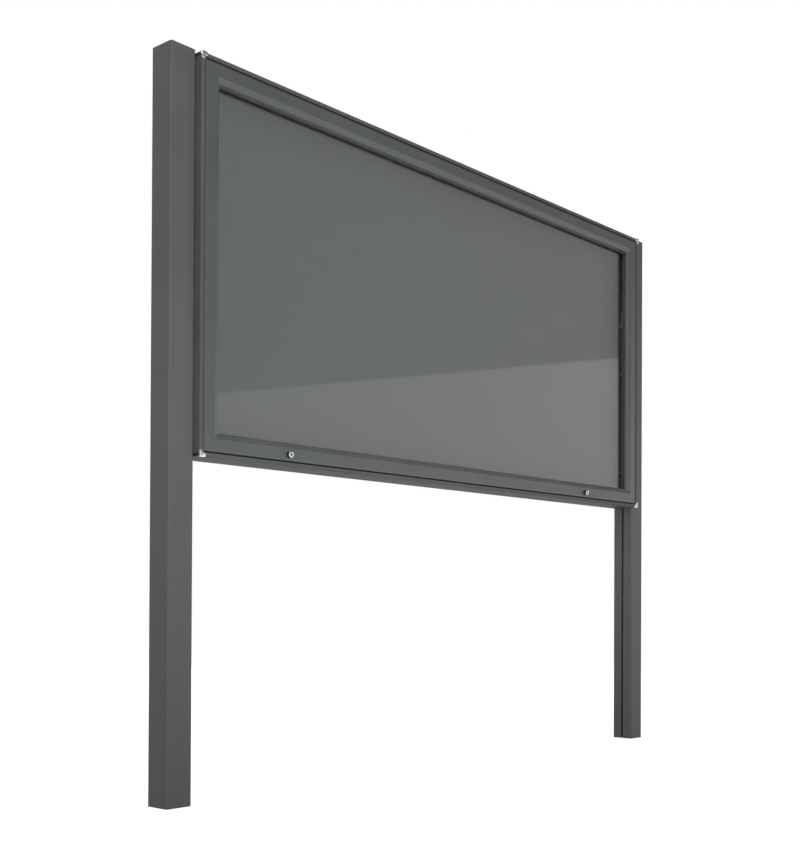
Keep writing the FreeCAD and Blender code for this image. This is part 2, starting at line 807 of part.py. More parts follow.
def strut_rod():
    """Polished rod with its piston."""
    neck = strut_closed - strut_neck
    piston_end = strut_neck + strut_tube_length - 20 - strut_stroke
    piston_radius = strut_tube_radius - strut_tube_wall - 0.3
    piston = near_round(piston_radius, along_strut(piston_end - 10), along_strut(piston_end))
    return union([piston, rod(strut_rod_radius, along_strut(piston_end - 5), along_strut(neck))])


def strut_door_end():
    """The rod's end beside the stud on the door, with its neck."""
    neck = near_round(strut_rod_radius + 1.5, along_strut(strut_closed - strut_neck),
                      along_strut(strut_closed))
    return union([strut_eye(strut_closed), neck])


def strut_case_bracket():
    """Plate on the case's upright with a long stud through the strut's eye."""
    wall_x = -half_width + wall_thickness
    pivot = strut_case_pivot
    plate = box((wall_x, wall_x + 3), (case_front + stop_back + 0.5, pivot.y + 14),
                (pivot.z - strut_case_plate / 2, pivot.z + strut_case_plate / 2))
    end_x = strut_x + strut_eye_width / 2
    root = Vector(wall_x + 2, pivot.y, pivot.z)
    stud = rod(strut_stud_radius, root, Vector(end_x + 1, pivot.y, pivot.z))
    head = faceted(Vector(end_x + 0.4, pivot.y, pivot.z), 3 * strut_stud_radius, X * 3)
    return union([plate, stud, head])


def strut_door_bracket():
    """Plate on the back of the door's stile, an ear and a short stud."""
    pivot = strut_door_pivot
    back = case_front + door_depth
    plate_x = (-half_width + wall_thickness + stop_reach + 2, strut_x - strut_eye_width / 2 - 1)
    plate = box(plate_x, (back, back + 3), (pivot.z - strut_door_plate / 2, pivot.z + strut_door_plate / 2))
    ear = box((plate_x[0], plate_x[0] + 3), (back, pivot.y + 7), (pivot.z - 9, pivot.z + 9))
    stud = near_round(strut_stud_radius, Vector(plate_x[0] + 1, pivot.y, pivot.z),
                      Vector(strut_x - strut_eye_width / 2 - open_pivot_air, pivot.y, pivot.z))
    return union([plate, ear, stud])


# Panels and the fixings between case and posts

def panel(depths):
    """A sheet that fills the case between its walls."""
    inset = wall_thickness + panel_air
    return box((-half_width + inset, half_width - inset), (case_front + depths[0], case_front + depths[1]),
               (case_bottom + inset, case_top - inset))


def stiffeners():
    """Upright channels between the display board and the back panel."""
    pieces = []
    y = (case_front + board_back, case_front + panel_front)
    z = (case_bottom + wall_thickness + panel_air, case_top - wall_thickness - panel_air)
    for i in range(stiffener_count):
        x = -half_width + case_width * (i + 1) / (stiffener_count + 1)
        outer = box((x - stiffener_width / 2, x + stiffener_width / 2), y, z)
        inner = box((x - stiffener_width / 2 + stiffener_wall, x + stiffener_width / 2 - stiffener_wall),
                    (y[0] + stiffener_wall, y[1] - stiffener_wall), (z[0] - 1, z[1] + 1))
        pieces.append(outer.cut(inner))
    return pieces


def right_side_bolts():
    """Hexagon bolts from inside the case, through its upright, into the post's groove."""
    bolts = []
    for z in side_bolt_heights():
        seat = Vector(half_width - wall_thickness, post_centre_y, z)
        head = faceted(seat, bolt_head_flats, X * -bolt_head_height)
        bolts.append(union([head, shank(bolt_radius, seat, groove_point(post_wall + slot_depth - 0.5, z))]))
    return bolts


def bolted_bar(x, width):
    """A flat bar along the post between two x, with a hole for each bolt."""
    heights = side_bolt_heights()
    bar_z = (heights[0] - strip_overhang, heights[-1] + strip_overhang)
    return box(x, (post_centre_y - width / 2, post_centre_y + width / 2), bar_z)


def right_upright_bar():
    """Fills the hollow upright where the bolts clamp it."""
    solid = bolted_bar((half_width - wall_thickness + wall_skin, half_width - wall_skin), bar_width)
    for z in side_bolt_heights():
        solid = solid.cut(shank(bolt_hole_radius, groove_point(-2 * wall_thickness, z), groove_point(1, z)))
    return solid


def right_nut_strip():
    """Threaded strip that slides in the post's groove."""
    solid = bolted_bar((half_width + post_wall, half_width + post_wall + strip_thickness),
                       slot_width - 2 * strip_air)
    for z in side_bolt_heights():
        solid = solid.cut(shank(bolt_radius + 0.05, groove_point(0, z), groove_point(2 * slot_depth, z)))
    return solid


def both(pieces):
    """The pieces of the right side and the same ones on the left."""
    return list(pieces) + [mirrored(piece) for piece in pieces]


def build():
    """Make every sub-part."""
    keep("right_post", right_post())
    keep("left_post", mirrored(right_post()))
    keep("post_caps", *both([right_post_cap()]))
    keep("spigot_screws", *both(spigot_screws()))
    keep("case_top_rail", case_wall("top"))
    keep("case_bottom_rail", case_wall("bottom"))
    keep("case_left_wall", case_wall("left"))
    keep("case_right_wall", case_wall("right"))
    keep("door_stops", *stops((stop_front, stop_back)))
    keep("panel_stops", *stops((board_stop_front, board_front)),
         *stops((panel_back, panel_back + stop_thickness)))
    keep("joint_packings", *joint_packings())
    for name, x_side, z_side in corners_of_case:
        keep("corner_piece_" + name, corner_piece(x_side, z_side))
    keep("corner_piece_screws", *corner_piece_screws())
    keep("rail_end_plugs", *rail_end_plugs())
    keep("corner_keys", *corner_keys())
    keep("corner_screws", *corner_screws())
    keep("hinge_rail", hinge_rail())
    keep("hinge_screws", *hinge_screws())
    keep("display_board", panel((board_front, board_back)))
    keep("board_stiffeners", *stiffeners())
    keep("back_panel", panel((panel_front, panel_back)))
    keep("door_seal", *four_strips(wall_thickness + seal_inset, wall_thickness + seal_inset + seal_width,
                                   (door_depth + seal_air, stop_front)))
    keep("lock_strikers", *strikers())
    keep("post_bolts", *both(right_side_bolts()))
    keep("upright_bars", *both([right_upright_bar()]))
    keep("nut_strips", *both([right_nut_strip()]))
    keep("left_strut_case_bracket", strut_case_bracket())
    keep("right_strut_case_bracket", mirrored(strut_case_bracket()))

    keep("door_top_rail", door_bar("top"))
    keep("door_bottom_rail", lock_holes(door_bar("bottom")))
    keep("door_left_stile", door_bar("left"))
    keep("door_right_stile", door_bar("right"))
    keep("door_corner_cleats", *door_cleats())
    keep("hinge_end_plugs", *hinge_end_plugs())
    keep("glass_pane", glass_pane())
    keep("glazing_gasket", *four_strips(door_inset + glass_edge + 2, door_inset + door_profile + gasket_lip,
                                        (bevel_drop + reveal_depth, glass_front)))
    keep("glazing_beads", *glazing_beads())
    keep("left_strut_door_bracket", strut_door_bracket())
    keep("right_strut_door_bracket", mirrored(strut_door_bracket()))

    for name, x in (("left", lock_left_x), ("right", lock_right_x)):
        keep(name + "_lock_housing", lock_housing(x))
        keep(name + "_lock_nut", lock_nut(x))
        keep(name + "_lock_plug", lock_plug(x))
        keep(name + "_lock_cam", lock_cam(x))
        keep(name + "_cam_screw", cam_screw(x))

    for name, shape in (("strut_case_end", strut_case_end()), ("strut_tube", strut_tube()),
                        ("strut_rod", strut_rod()), ("strut_door_end", strut_door_end())):
        keep("left_" + name, shape)
        keep("right_" + name, mirrored(shape))


build()
os.makedirs("parts", exist_ok=True)
for node, shape in nodes.items():
    shape.exportStep("parts/" + node + ".step")
    good = shape.isValid() and all(solid.isClosed() for solid in shape.Solids)
    print(node, len(shape.Solids), "solids", round(shape.Volume / 1000, 1), "cm3",
          "closed" if good else "NOT CLOSED")
print(len(nodes), "nodes")
print("hinge axis y", axis_y, "z", axis_z, "lock x", lock_left_x, lock_right_x, "z", lock_z)
print("strut pivot", tuple(strut_case_pivot), "way", tuple(strut_way))
print("strut stroke", strut_stroke, "turn in degrees", strut_turn)
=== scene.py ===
import bpy
import math
from mathutils import Matrix, Vector


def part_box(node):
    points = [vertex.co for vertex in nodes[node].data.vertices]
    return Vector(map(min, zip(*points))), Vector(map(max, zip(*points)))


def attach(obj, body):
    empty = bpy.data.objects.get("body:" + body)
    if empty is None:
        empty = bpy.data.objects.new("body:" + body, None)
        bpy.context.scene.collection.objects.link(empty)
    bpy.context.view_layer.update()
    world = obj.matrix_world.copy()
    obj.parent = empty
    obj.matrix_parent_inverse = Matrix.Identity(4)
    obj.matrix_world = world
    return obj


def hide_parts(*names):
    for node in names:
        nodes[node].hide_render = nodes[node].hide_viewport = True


# Lockable outdoor notice board: grey powder coated aluminium, a glazed door, two chromed locks.
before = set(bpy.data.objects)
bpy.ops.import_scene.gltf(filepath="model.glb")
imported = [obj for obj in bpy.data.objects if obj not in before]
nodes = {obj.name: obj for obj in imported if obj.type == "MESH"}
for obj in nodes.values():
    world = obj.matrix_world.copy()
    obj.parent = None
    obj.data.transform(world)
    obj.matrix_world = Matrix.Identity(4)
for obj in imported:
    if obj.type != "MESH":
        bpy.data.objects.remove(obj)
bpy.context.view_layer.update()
print("frame loaded:", len(nodes), "nodes")


# small tools for materials and meshes

# an sRGB hex value as a linear colour
def paint(hexText):
    levels = [int(hexText[i:i + 2], 16) / 255 for i in (1, 3, 5)]
    linear = [v / 12.92 if v <= 0.04045 else ((v + 0.055) / 1.055) ** 2.4 for v in levels]
    return (*linear, 1.0)


# adds one node: its own settings, values for its sockets, and links into its sockets
def addNode(tree, kind, settings=None, values=None, links=None):
    node = tree.nodes.new(kind)
    for name, value in (settings or {}).items():
        setattr(node, name, value)
    for socket, value in (values or {}).items():
        node.inputs[socket].default_value = value
    for socket, source in (links or {}).items():
        tree.links.new(source, node.inputs[socket])
    return node


def newMaterial(name):
    material = bpy.data.materials.new(name)
    material.use_nodes = True
    material.node_tree.nodes.clear()
    tree = material.node_tree
    coords = addNode(tree, "ShaderNodeTexCoord")
    return material, tree, coords.outputs["Object"]


def finishMaterial(material, tree, shader):
    addNode(tree, "ShaderNodeOutputMaterial", links={"Surface": shader.outputs[0]})
    return material


# noise stretched along an axis by its sizes in millimetres
def noiseAt(tree, where, sizes, detail=2.0, roughness=0.5):
    spread = addNode(tree, "ShaderNodeMapping", values={"Scale": [1000 / size for size in sizes]},
                     links={"Vector": where})
    return addNode(tree, "ShaderNodeTexNoise",
                   values={"Scale": 1.0, "Detail": detail, "Roughness": roughness},
                   links={"Vector": spread.outputs["Vector"]})


def spreadValue(tree, source, low, high, fromLow=0.35, fromHigh=0.65):
    return addNode(tree, "ShaderNodeMapRange",
                   values={"From Min": fromLow, "From Max": fromHigh, "To Min": low, "To Max": high},
                   links={"Value": source}).outputs["Result"]


def blendColours(tree, factor, first, second):
    mix = addNode(tree, "ShaderNodeMix", {"data_type": "RGBA"}, {6: paint(first), 7: paint(second)},
                  {0: factor})
    return mix.outputs[2]


# materials

# polyester powder coat on the posts: matt to satin, a fine orange peel, faint clouds from the spraying, and
# painted shade darkening the lowest stretch towards the ground
postCoat = {"dark": "#5b5b5b", "light": "#5f5f5f", "cloudSize": 260, "peelSize": 2.6, "peelDepth": 0.00002,
            "roughLow": 0.38, "roughHigh": 0.46, "ior": 1.5, "specular": 0.22,
            "lowShadeTop": 0.85, "lowShadeTone": "#4b4b4a"}

# the same powder on the case, a little cooler in the light and matt where it is seen edge on
caseCoat = {"dark": "#575959", "light": "#5b5d5d", "cloudSize": 230, "peelSize": 2.6, "peelDepth": 0.00002,
            "roughLow": 0.56, "roughHigh": 0.64, "ior": 1.5, "specular": 0.08}

# and on the door, where a smoother batch flowed out to a satin sheen
doorCoat = {"dark": "#505353", "light": "#555858", "cloudSize": 200, "peelSize": 2.2, "peelDepth": 0.000012,
            "roughLow": 0.27, "roughHigh": 0.33, "ior": 1.6, "specular": 0.42}

# how strongly the peel's bump shows
peelStrength = 0.35


def makePowderCoat(name, look):
    material, tree, where = newMaterial(name)
    clouds = noiseAt(tree, where, (look["cloudSize"],) * 3, detail=3.0)
    # the real peel is about 1 mm across, drawn at 3 mm so that it shows
    peel = noiseAt(tree, where, (look["peelSize"],) * 3, detail=2.0, roughness=0.6)
    colour = blendColours(tree, spreadValue(tree, clouds.outputs["Fac"], 0, 1), look["dark"], look["light"])
    rough = spreadValue(tree, peel.outputs["Fac"], look["roughLow"], look["roughHigh"])
    if "lowShadeTone" in look:
        # painted shade: the coat is darkened over the lowest stretch, more of it towards the ground, in place
        # of the shade that falls there
        height = addNode(tree, "ShaderNodeSeparateXYZ", links={"Vector": where}).outputs["Z"]
        filmAndShade = spreadValue(tree, height, 1, 0, fromLow=0, fromHigh=look["lowShadeTop"])
        lowShadeMix = addNode(tree, "ShaderNodeMix", {"data_type": "RGBA"}, {7: paint(look["lowShadeTone"])},
                       {0: filmAndShade, 6: colour})
        colour = lowShadeMix.outputs[2]
    bump = addNode(tree, "ShaderNodeBump", values={"Strength": peelStrength, "Distance": look["peelDepth"]},
                   links={"Height": peel.outputs["Fac"]})
    shader = addNode(tree, "ShaderNodeBsdfPrincipled",
                     values={"IOR": look["ior"], "Specular IOR Level": look["specular"]},
                     links={"Base Color": colour, "Roughness": rough, "Normal": bump.outputs["Normal"]})
    return finishMaterial(material, tree, shader)


# plain extruded aluminium: bright, with long die lines along the bar
plainAluminium = {"dark": "#a9abad", "light": "#bcbec0", "lineWidth": 0.9, "lineLength": 900,
                  "roughLow": 0.3, "roughHigh": 0.46}

# depth in metres and strength of the lines' bump, the same on every metal
metalLines = {"depth": 0.00004, "strength": 0.3}


def makeMetal(name, look, along):
    material, tree, where = newMaterial(name)
    sizes = [look["lineWidth"]] * 3
    sizes["xyz".index(along)] = look["lineLength"]
    lines = noiseAt(tree, where, sizes, detail=4.0, roughness=0.6)
    colour = blendColours(tree, spreadValue(tree, lines.outputs["Fac"], 0, 1), look["dark"], look["light"])
    rough = spreadValue(tree, lines.outputs["Fac"], look["roughLow"], look["roughHigh"])
    bump = addNode(tree, "ShaderNodeBump",
                   values={"Strength": metalLines["strength"], "Distance": metalLines["depth"]},
                   links={"Height": lines.outputs["Fac"]})
    shader = addNode(tree, "ShaderNodeBsdfPrincipled", values={"Metallic": 1.0},
                     links={"Base Color": colour, "Roughness": rough, "Normal": bump.outputs["Normal"]})
    return finishMaterial(material, tree, shader)


# bright zinc plate on steel: slightly blue, cloudy, a grain of about 0.6 mm from tumbling
zincPlate = {"dark": "#9ea2a6", "light": "#b9bcc0", "lineWidth": 0.7, "lineLength": 1.6,
             "roughLow": 0.24, "roughHigh": 0.42}

# stainless steel, ground: short grinding lines
groundSteel = {"dark": "#a6a7a8", "light": "#c2c3c4", "lineWidth": 0.35, "lineLength": 9,
               "roughLow": 0.2, "roughHigh": 0.34}

# chrome plate on die cast zinc: a mirror, with a film of fingerprints that dulls it in places
chromePlate = {"colour": "#e4e6e8", "smudge": 4.0, "roughLow": 0.04, "roughHigh": 0.13}


def makeChrome(name, look):
    material, tree, where = newMaterial(name)
    filmAndShade = noiseAt(tree, where, (look["smudge"],) * 3, detail=4.0, roughness=0.65)
    rough = spreadValue(tree, filmAndShade.outputs["Fac"], look["roughLow"], look["roughHigh"])
    shader = addNode(tree, "ShaderNodeBsdfPrincipled",
                     values={"Base Color": paint(look["colour"]), "Metallic": 1.0},
                     links={"Roughness": rough})
    return finishMaterial(material, tree, shader)


# EPDM sealing rubber: matt dark grey with a fine extruded skin
sealRubber = {"dark": "#626464", "light": "#6a6c6c", "grain": 0.8, "grainDepth": 0.00005,
              "roughLow": 0.62, "roughHigh": 0.8}

# moulded nylon: black, spark eroded grain of about 0.3 mm, drawn at 0.8 mm
blackNylon = {"dark": "#17181a", "light": "#202224", "grain": 0.8, "grainDepth": 0.00003,
              "roughLow": 0.42, "roughHigh": 0.58}

# stoved enamel on the gas strut's tube: satin black, faintly mottled
strutEnamel = {"dark": "#131416", "light": "#1a1b1d", "grain": 2.2, "grainDepth": 0.00002,
               "roughLow": 0.24, "roughHigh": 0.34}

# laminate face of the display board: matt grey with a pebbled grain of about 1 mm, drawn at 3 mm
boardFace = {"dark": "#5f6160", "light": "#626463", "grain": 3.0, "grainDepth": 0.000006,
             "roughLow": 0.62, "roughHigh": 0.7}

# how strongly the grain's bump shows
grainStrength = 0.4


def makeMatt(name, look):
    material, tree, where = newMaterial(name)
    grain = noiseAt(tree, where, (look["grain"],) * 3, detail=3.0, roughness=0.6)
    colour = blendColours(tree, spreadValue(tree, grain.outputs["Fac"], 0, 1), look["dark"], look["light"])
    rough = spreadValue(tree, grain.outputs["Fac"], look["roughLow"], look["roughHigh"])
    bump = addNode(tree, "ShaderNodeBump", values={"Strength": grainStrength, "Distance": look["grainDepth"]},
                   links={"Height": grain.outputs["Fac"]})
    shader = addNode(tree, "ShaderNodeBsdfPrincipled", values={"IOR": 1.5},
                     links={"Base Color": colour, "Roughness": rough, "Normal": bump.outputs["Normal"]})
    return finishMaterial(material, tree, shader)


# toughened float glass, 4 mm: clear, faintly green from its iron; it lets the lamps' light through
floatGlass = {"tint": "#e9ecea", "shade": "#fafcfb"}


def makeGlass(name, look):
    material, tree, _ = newMaterial(name)
    glass = addNode(tree, "ShaderNodeBsdfPrincipled",
                    values={"Base Color": paint(look["tint"]), "Roughness": 0.0, "IOR": 1.5,
                            "Transmission Weight": 1.0})
    clear = addNode(tree, "ShaderNodeBsdfTransparent", values={"Color": paint(look["shade"])})
    path = addNode(tree, "ShaderNodeLightPath")
    through = addNode(tree, "ShaderNodeMath", {"operation": "MAXIMUM"},
                      links={0: path.outputs["Is Shadow Ray"], 1: path.outputs["Is Diffuse Ray"]})
    mixed = addNode(tree, "ShaderNodeMixShader",
                    links={0: through.outputs[0], 1: glass.outputs[0], 2: clear.outputs[0]})
    return finishMaterial(material, tree, mixed)


postMaterial = makePowderCoat("mattPowderCoat", postCoat)
caseMaterial = makePowderCoat("lowSheenPowderCoat", caseCoat)
doorMaterial = makePowderCoat("satinPowderCoat", doorCoat)
aluminiumX = makeMetal("extrudedAluminiumAlongX", plainAluminium, "x")
aluminiumZ = makeMetal("extrudedAluminiumAlongZ", plainAluminium, "z")
zincMaterial = makeMetal("zincPlatedSteel", zincPlate, "z")
steelMaterial = makeMetal("groundStainlessSteel", groundSteel, "x")
chromeMaterial = makeChrome("chromePlate", chromePlate)
rubberMaterial = makeMatt("sealRubber", sealRubber)
nylonMaterial = makeMatt("mouldedNylon", blackNylon)
enamelMaterial = makeMatt("strutEnamel", strutEnamel)
boardMaterial = makeMatt("boardLaminate", boardFace)
glassMaterial = makeGlass("floatGlass", floatGlass)

finishOf = {
    postMaterial: ["right_post", "left_post", "post_caps"],
    caseMaterial: ["case_top_rail", "case_bottom_rail", "case_left_wall", "case_right_wall", "door_stops",
                   "panel_stops", "back_panel"],
    doorMaterial: ["door_top_rail", "door_bottom_rail", "door_left_stile", "door_right_stile"],
    aluminiumX: ["hinge_rail", "door_corner_cleats", "glazing_beads"],
    aluminiumZ: ["board_stiffeners", "corner_keys", "upright_bars", "nut_strips"],
    zincMaterial: ["corner_screws", "hinge_screws", "post_bolts", "spigot_screws", "lock_strikers",
                   "left_lock_nut", "right_lock_nut", "left_lock_cam", "right_lock_cam", "left_cam_screw",
                   "right_cam_screw", "left_strut_case_bracket", "right_strut_case_bracket",
                   "left_strut_door_bracket", "right_strut_door_bracket", "left_strut_case_end",
                   "right_strut_case_end", "left_strut_door_end", "right_strut_door_end"],
    steelMaterial: ["corner_piece_screws", "left_strut_rod", "right_strut_rod"],
    chromeMaterial: ["corner_piece_bottom_left", "corner_piece_bottom_right", "corner_piece_top_left",
                     "corner_piece_top_right", "left_lock_housing", "right_lock_housing", "left_lock_plug",
                     "right_lock_plug"],
    rubberMaterial: ["door_seal", "glazing_gasket"],
    nylonMaterial: ["joint_packings", "rail_end_plugs", "hinge_end_plugs"],
    enamelMaterial: ["left_strut_tube", "right_strut_tube"],
    boardMaterial: ["display_board"],
    glassMaterial: ["glass_pane"],
}
for material, names in finishOf.items():
    for name in names:
        slots = nodes[name].material_slots
        if slots:
            for slot in slots:
                slot.material = material
        else:
            nodes[name].data.materials.append(material)
print("finishes on the CAD nodes:", sum(len(names) for names in finishOf.values()))


# shapes built in this script

def deselect():
    bpy.ops.object.select_all(action="DESELECT")


# faces turned outwards, the origin brought home, edges smoothed, then the finish and what the piece rides on
def finishPiece(piece, name, material, body, replaced, smoothAngle=40):
    deselect()
    piece.select_set(True)
    bpy.context.view_layer.objects.active = piece
    bpy.ops.object.mode_set(mode="EDIT")
    bpy.ops.mesh.select_all(action="SELECT")
    bpy.ops.mesh.normals_make_consistent(inside=False)
    bpy.ops.object.mode_set(mode="OBJECT")
    bpy.ops.object.transform_apply(location=True, rotation=True, scale=True)
    bpy.ops.object.shade_smooth_by_angle(angle=math.radians(smoothAngle))
    piece.name = name
    piece.data.name = name
    piece.data.materials.clear()
    piece.data.materials.append(material)
    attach(piece, body)
    if replaced:
        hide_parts(*replaced)


# a round piece grown from a disc at the first place: pairs of (way towards the front in mm, radius in mm)
def turnedPiece(start, profile, sides):
    deselect()
    firstWay, firstRadius = profile[0]
    centre = Vector(start) + Vector((0, -firstWay / 1000, 0))
    bpy.ops.mesh.primitive_circle_add(vertices=sides, radius=firstRadius / 1000, fill_type="NGON",
                                      location=centre, rotation=(math.radians(90), 0, 0))
    piece = bpy.context.object
    bpy.ops.object.mode_set(mode="EDIT")
    bpy.ops.mesh.select_all(action="SELECT")
    for (wayA, radiusA), (wayB, radiusB) in zip(profile, profile[1:]):
        bpy.ops.mesh.extrude_region_move(TRANSFORM_OT_translate={"value": (0, (wayA - wayB) / 1000, 0)})
        here = Vector(start) + Vector((0, -wayB / 1000, 0))
        bpy.ops.transform.resize(value=(radiusB / radiusA,) * 3, center_override=here)
    bpy.ops.object.mode_set(mode="OBJECT")
    return piece


def applyBevel(piece, width, segments, angle=40):
    bevel = piece.modifiers.new("edge", "BEVEL")
    bevel.width = width / 1000
    bevel.segments = segments
    bevel.limit_method = "ANGLE"
    bevel.angle_limit = math.radians(angle)
    bpy.context.view_layer.objects.active = piece
    bpy.ops.object.modifier_apply(modifier=bevel.name)


def addBox(low, high):
    deselect()
    middle = [(a + b) / 2 for a, b in zip(low, high)]
    bpy.ops.mesh.primitive_cube_add(size=1, location=middle, scale=[b - a for a, b in zip(low, high)])
    bpy.ops.object.transform_apply(location=True, rotation=True, scale=True)
    return bpy.context.object


# selects the faces or the vertices that fit, and leaves the piece in edit mode
def selectParts(piece, kind, wanted):
    bpy.ops.object.mode_set(mode="EDIT")
    bpy.ops.mesh.select_mode(type=kind)
    bpy.ops.mesh.select_all(action="DESELECT")
    bpy.ops.object.mode_set(mode="OBJECT")
    for part in piece.data.polygons if kind == "FACE" else piece.data.vertices:
        part.select = bool(wanted(part))
    bpy.ops.object.mode_set(mode="EDIT")


# locks: a chromed cap with a rolled rim and a dished face on a black collar, the plug with its keyway,
# a threaded barrel; each profile gives pairs of way towards the front and radius, in mm
lockHead = {
    "proud": 12.0, "sides": 64,
    "rim": [(8.2, 6.5), (8.2, 8.5), (8.6, 8.9), (9.9, 9.0), (10.7, 8.75), (11.4, 8.2), (11.85, 7.4),
            (12.0, 6.9), (11.9, 6.5), (11.4, 6.2), (11.0, 5.9), (11.0, 5.35), (10.4, 5.2), (9.0, 5.15)],
    "collar": [(0, 6.5), (0, 8.8), (0.2, 9.0), (7.9, 9.0), (8.3, 8.6), (8.3, 6.5)],
    "plug": [(6, 4.9), (10.2, 4.9), (10.9, 4.75), (11.3, 4.4), (11.4, 3.9)], "plugEdge": 0.12,
    "keyway": {"wide": 1.5, "tall": 6.2, "deep": 1.6, "front": 13.0},
    "shutter": {"thickness": 0.5, "air": 0.1, "edge": 0.1},
    "barrelNeck": [(-2, 6.9), (2, 6.9)], "barrelSides": 32,
    "thread": {"crest": 6.95, "root": 6.4, "pitch": 1.2, "runOut": 1.0, "end": -4.0},
}


# the plain end at the back, the thread, and the neck inside the door
def barrelProfile(length):
    thread = lockHead["thread"]
    profile = [(-length, thread["root"])]
    way = thread["runOut"] - length
    while way < thread["end"]:
        profile += [(way, thread["crest"]), (way + thread["pitch"] / 2, thread["root"])]
        way += thread["pitch"]
    return profile + lockHead["barrelNeck"]


# a box in the keyway: its half width and half height, and where it starts and ends, in mm before the door
def keywayBox(centre, halfWide, halfTall, front, back):
    x, y, z = centre
    return addBox((x - halfWide / 1000, y - front / 1000, z - halfTall / 1000),
                  (x + halfWide / 1000, y - back / 1000, z + halfTall / 1000))


def makeLock(side):
    low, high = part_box(side + "_lock_housing")
    face = low.y + lockHead["proud"] / 1000
    centre = ((low.x + high.x) / 2, face, (low.z + high.z) / 2)
    # cap and barrel
    head = turnedPiece(centre, lockHead["rim"], lockHead["sides"])
    barrel = turnedPiece(centre, barrelProfile((high.y - face) * 1000), lockHead["barrelSides"])
    deselect()
    head.select_set(True)
    barrel.select_set(True)
    bpy.context.view_layer.objects.active = head
    bpy.ops.object.join()
    finishPiece(head, side + "LockHead", chromeMaterial, "door", [side + "_lock_housing"],
                smoothAngle=30)
    collar = turnedPiece(centre, lockHead["collar"], lockHead["sides"])
    finishPiece(collar, side + "LockCollar", nylonMaterial, "door", [side + "_lock_housing"],
                smoothAngle=30)
    # plug, with the keyway cut in from the front and the spring shutter at its bottom
    plug = turnedPiece(centre, lockHead["plug"], lockHead["sides"])
    plugFace = lockHead["plug"][-1][0]
    keyway, shutterLook = lockHead["keyway"], lockHead["shutter"]
    bottom = plugFace - keyway["deep"]
    cutter = keywayBox(centre, keyway["wide"] / 2, keyway["tall"] / 2, keyway["front"], bottom)
    cut = plug.modifiers.new("keyway", "BOOLEAN")
    cut.operation = "DIFFERENCE"
    cut.object = cutter
    deselect()
    bpy.context.view_layer.objects.active = plug
    bpy.ops.object.modifier_apply(modifier=cut.name)
    bpy.data.objects.remove(cutter)
    applyBevel(plug, lockHead["plugEdge"], segments=2, angle=50)
    finishPiece(plug, side + "LockPlugFace", chromeMaterial, side + "_lock_turn", [],
                smoothAngle=30)
    air = shutterLook["air"]
    shutter = keywayBox(centre, keyway["wide"] / 2 - air, keyway["tall"] / 2 - air,
                        bottom + shutterLook["thickness"], bottom)
    applyBevel(shutter, shutterLook["edge"], segments=2)
    finishPiece(shutter, side + "KeyShutter", nylonMaterial, side + "_lock_turn", [])


for side in ("left", "right"):
    makeLock(side)
print("locks made")


# bright corner pieces on the rim: bent over the corner, with soft edges and a countersunk screw

# their width lies on the rim, and they stand proud of its outside; sizes in mm
cornerPiece = {"width": 10, "proud": 1, "edge": 1.6, "edgeSegments": 4}
cornerScrew = {"sides": 32,
               "profile": [(-9, 2.0), (-1.0, 2.0), (-0.4, 3.7), (0.2, 3.7), (0.75, 3.35), (1.05, 2.5),
                           (1.05, 2.0), (1.05, 1.85), (0.1, 1.7)]}


def makeCornerPiece(node, name, right, top):
    low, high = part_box(node)
    wide = (cornerPiece["width"] + cornerPiece["proud"]) / 1000
    x = (high.x - wide, high.x) if right else (low.x, low.x + wide)
    z = (high.z - wide, high.z) if top else (low.z, low.z + wide)
    # the square at the corner first, then a leg pulled out of each inner side
    piece = addBox((x[0], low.y, z[0]), (x[1], high.y, z[1]))
    sideways, upwards = (-1 if right else 1), (-1 if top else 1)
    legX, legZ = (high.x - low.x) - wide, (high.z - low.z) - wide
    selectParts(piece, "FACE", lambda face: face.normal.x * sideways > 0.9)
    bpy.ops.mesh.extrude_region_move(TRANSFORM_OT_translate={"value": (sideways * legX, 0, 0)})
    bpy.ops.object.mode_set(mode="OBJECT")
    selectParts(piece, "FACE",
                lambda face: face.normal.z * upwards > 0.9 and abs(face.center.x - sum(x) / 2) < wide / 4)
    bpy.ops.mesh.extrude_region_move(TRANSFORM_OT_translate={"value": (0, 0, upwards * legZ)})
    bpy.ops.object.mode_set(mode="OBJECT")
    applyBevel(piece, cornerPiece["edge"], cornerPiece["edgeSegments"], angle=50)
    finishPiece(piece, name, chromeMaterial, "case", [node], smoothAngle=60)


def makeCornerScrew(name, x, y, z):
    screw = turnedPiece((x, y, z), cornerScrew["profile"], cornerScrew["sides"])
    finishPiece(screw, name, steelMaterial, "case", ["corner_piece_screws"], smoothAngle=35)


for vertical, top in (("bottom", False), ("top", True)):
    for horizontal, right in (("left", False), ("right", True)):
        node = "corner_piece_" + vertical + "_" + horizontal
        name = "corner" + vertical.capitalize() + horizontal.capitalize()
        makeCornerPiece(node, name, right, top)
        low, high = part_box(node)
        inset = (cornerPiece["proud"] + cornerPiece["width"] / 2) / 1000
        makeCornerScrew(name + "Screw", high.x - inset if right else low.x + inset, low.y,
                        high.z - inset if top else low.z + inset)
print("corner pieces made")


# door sides: the solid ones with a fuller nose, where the bevel rolls over into the reveal

# the nose's sharp corner lies drop behind the front; what is within reach of it is spread; in mm and degrees
doorNose = {"drop": 7.0, "reach": 2.9, "fuller": 2.2, "mergeWithin": 0.02, "flatWithin": 0.5,
            "smoothAngle": 28}


